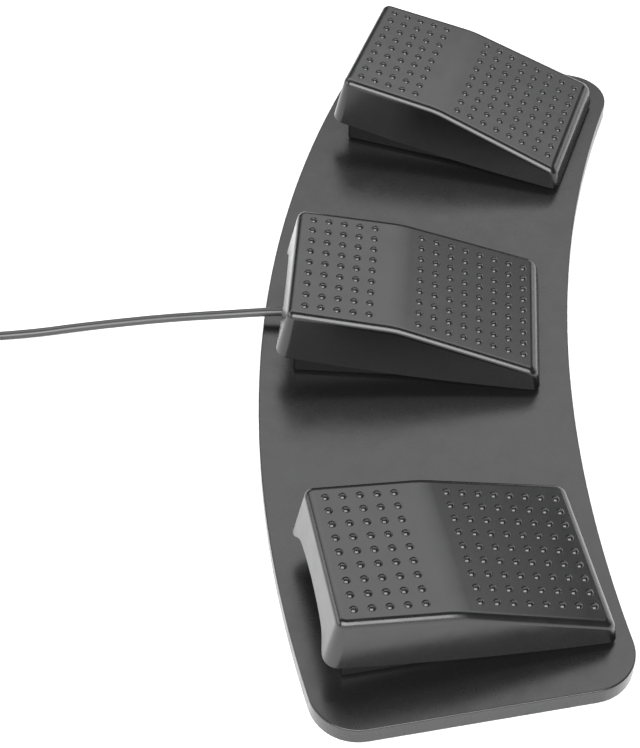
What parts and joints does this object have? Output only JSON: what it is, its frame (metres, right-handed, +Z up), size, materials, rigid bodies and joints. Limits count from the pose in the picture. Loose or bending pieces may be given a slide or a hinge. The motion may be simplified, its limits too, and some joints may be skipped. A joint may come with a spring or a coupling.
{
  "type": "foot pedal switch",
  "caption": "Foot-operated switch with a row of hinged, dotted foot pedals on a curved low base, wired by a thin USB cable.",
  "frame": {"origin": "on the surface the object stands on, under the middle of the object's box without its cable", "axes": "+X along the row of pedals to the user's right, +Y from the user's heels to their toes (the cable leaves at +Y), +Z up"},
  "size_m": [0.3696, 0.3115, 0.0419],
  "materials": {
    "base_plastic": "satin black, fine moulded grain",
    "pedal_plastic": "satin dark grey-black, fine moulded grain",
    "tray_plastic": "matt black",
    "plate_steel": "black powder coat",
    "zinc_steel": "zinc plated",
    "spring_steel": "bright drawn wire",
    "rubber": "matt black",
    "board": "green solder mask",
    "switch_plastic": "moulded black",
    "plunger_plastic": "moulded red",
    "chip": "moulded epoxy",
    "cable_jacket": "satin dark grey PVC",
    "usb_shell": "nickel plated"
  },
  "bodies": {
    "base": {"left_pedal_tray": "tray_plastic", "left_hinge_pin": "zinc_steel", "left_return_spring": "spring_steel", "left_switch_body": "switch_plastic", "left_bump_stop": "rubber", "left_front_screw": "zinc_steel", "left_rear_screw": "zinc_steel", "middle_pedal_tray": "tray_plastic", "middle_hinge_pin": "zinc_steel", "middle_return_spring": "spring_steel", "middle_switch_body": "switch_plastic", "middle_bump_stop": "rubber", "middle_front_screw": "zinc_steel", "middle_rear_screw": "zinc_steel", "right_pedal_tray": "tray_plastic", "right_hinge_pin": "zinc_steel", "right_return_spring": "spring_steel", "right_switch_body": "switch_plastic", "right_bump_stop": "rubber", "right_front_screw": "zinc_steel", "right_rear_screw": "zinc_steel", "left_switch_board": "board", "right_switch_board": "board", "control_board": "board", "controller_chip": "chip", "base_shell": "base_plastic", "bottom_plate": "plate_steel", "left_lead": "cable_jacket", "right_lead": "cable_jacket", "cable_grommet": "rubber", "usb_cable": "cable_jacket", "cable_coil": "cable_jacket", "coil_tie": "rubber", "usb_plug_grip": "cable_jacket", "usb_plug_shell": "usb_shell", "left_rear_inner_base_screw": "zinc_steel", "left_front_inner_base_screw": "zinc_steel", "left_end_base_screw": "zinc_steel", "right_rear_inner_base_screw": "zinc_steel", "right_front_inner_base_screw": "zinc_steel", "right_end_base_screw": "zinc_steel", "left_rear_foot": "rubber", "left_front_foot": "rubber", "right_rear_foot": "rubber", "right_front_foot": "rubber", "middle_rear_foot": "rubber", "middle_front_foot": "rubber"},
    "left_pedal": {"left_pedal_cover": "pedal_plastic"},
    "left_lever": {"left_switch_lever": "zinc_steel"},
    "left_plunger": {"left_switch_plunger": "plunger_plastic"},
    "middle_pedal": {"middle_pedal_cover": "pedal_plastic"},
    "middle_lever": {"middle_switch_lever": "zinc_steel"},
    "middle_plunger": {"middle_switch_plunger": "plunger_plastic"},
    "right_pedal": {"right_pedal_cover": "pedal_plastic"},
    "right_lever": {"right_switch_lever": "zinc_steel"},
    "right_plunger": {"right_switch_plunger": "plunger_plastic"}
  },
  "joints": [
    {"name": "left_pedal_hinge", "type": "hinge", "parent": "base", "child": "left_pedal", "pos_m": [-0.1169, -0.04497, 0.015], "axis": [-0.9659, -0.2588, 0], "range_deg": [0, 5], "stiffness_Nm_per_rad": 4, "springref_deg": -3.58, "deforming": ["left_return_spring"]},
    {"name": "left_lever_hinge", "type": "hinge", "parent": "base", "child": "left_lever", "pos_m": [-0.1256, -0.01252, 0.024], "axis": [-0.9659, -0.2588, 0], "range_deg": [0, 15.1]},
    {"name": "left_plunger_slide", "type": "slide", "parent": "base", "child": "left_plunger", "axis": [0, 0, -1], "range_m": [0, 0.00101]},
    {"name": "middle_pedal_hinge", "type": "hinge", "parent": "base", "child": "middle_pedal", "pos_m": [0, -0.0279, 0.015], "axis": [-1, 0, 0], "range_deg": [0, 5], "stiffness_Nm_per_rad": 4, "springref_deg": -3.58, "deforming": ["middle_return_spring"]},
    {"name": "middle_lever_hinge", "type": "hinge", "parent": "base", "child": "middle_lever", "pos_m": [0, 0.0057, 0.024], "axis": [-1, 0, 0], "range_deg": [0, 15.1]},
    {"name": "middle_plunger_slide", "type": "slide", "parent": "base", "child": "middle_plunger", "axis": [0, 0, -1], "range_m": [0, 0.00101]},
    {"name": "right_pedal_hinge", "type": "hinge", "parent": "base", "child": "right_pedal", "pos_m": [0.1169, -0.04497, 0.015], "axis": [-0.9659, 0.2588, 0], "range_deg": [0, 5], "stiffness_Nm_per_rad": 4, "springref_deg": -3.58, "deforming": ["right_return_spring"]},
    {"name": "right_lever_hinge", "type": "hinge", "parent": "base", "child": "right_lever", "pos_m": [0.1256, -0.01252, 0.024], "axis": [-0.9659, 0.2588, 0], "range_deg": [0, 15.1]},
    {"name": "right_plunger_slide", "type": "slide", "parent": "base", "child": "right_plunger", "axis": [0, 0, -1], "range_m": [0, 0.00101]}
  ],
  "couplings": [
    {"joint": "left_lever_hinge", "follows": "left_pedal_hinge", "ratio": 3},
    {"joint": "left_plunger_slide", "follows": "left_pedal_hinge", "m_per_rad": 0.01146},
    {"joint": "middle_lever_hinge", "follows": "middle_pedal_hinge", "ratio": 3},
    {"joint": "middle_plunger_slide", "follows": "middle_pedal_hinge", "m_per_rad": 0.01146},
    {"joint": "right_lever_hinge", "follows": "right_pedal_hinge", "ratio": 3},
    {"joint": "right_plunger_slide", "follows": "right_pedal_hinge", "m_per_rad": 0.01146}
  ]
}
